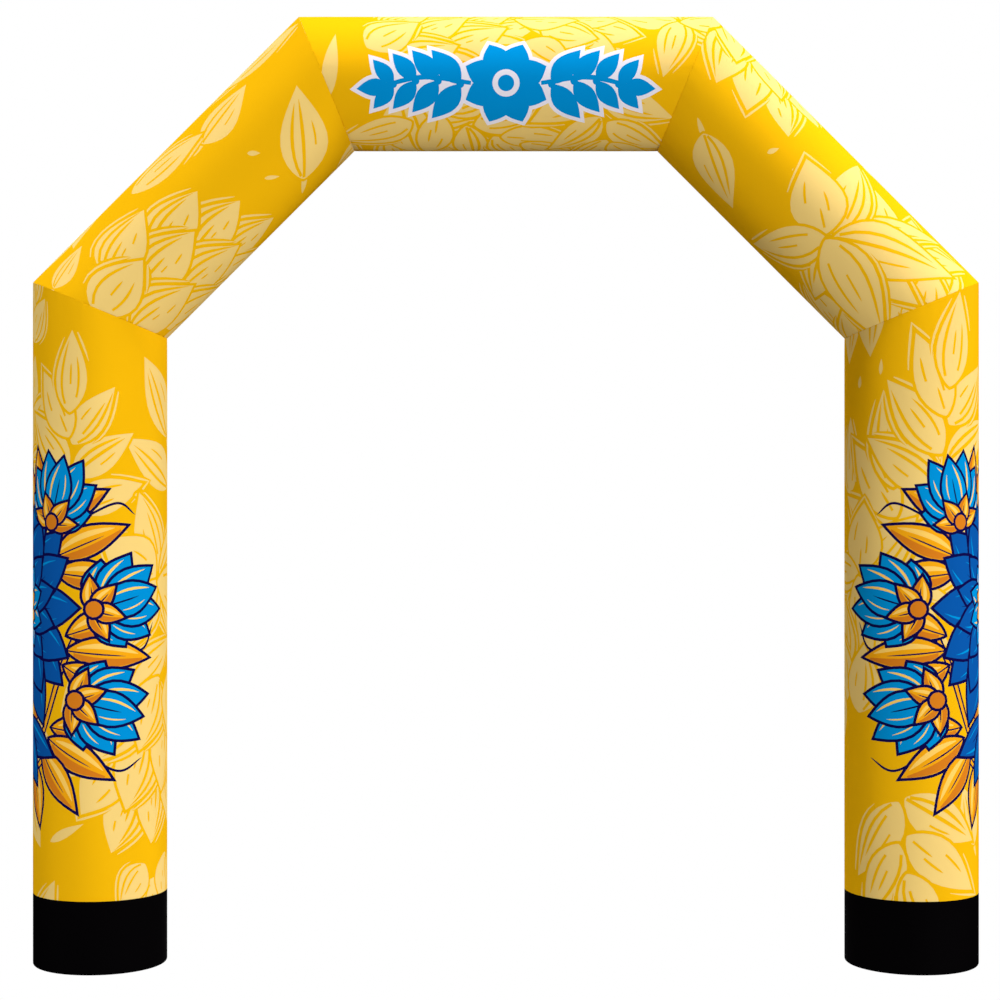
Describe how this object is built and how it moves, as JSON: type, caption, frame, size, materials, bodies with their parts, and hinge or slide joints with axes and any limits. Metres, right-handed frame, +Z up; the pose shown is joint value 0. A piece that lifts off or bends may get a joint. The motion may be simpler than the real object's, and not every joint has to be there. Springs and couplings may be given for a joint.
{
  "type": "inflatable arch",
  "caption": "Free-standing inflatable event arch of mitred printed fabric tubes on flat black feet, for people to walk or run through.",
  "frame": {"origin": "on the floor, midway between the two feet", "axes": "+X from the left foot to the right foot as seen from the front, +Y from front to back, +Z up"},
  "size_m": [5, 0.7, 5],
  "materials": {
    "printed_polyester": "woven polyester, satin coating, printed leaves and flowers",
    "black_polyester": "woven polyester, matt coating"
  },
  "bodies": {
    "root": {"leg_left": "printed_polyester", "diagonal_left": "printed_polyester", "crossbar": "printed_polyester", "diagonal_right": "printed_polyester", "leg_right": "printed_polyester", "base_left": "black_polyester", "base_right": "black_polyester"}
  },
  "joints": []
}
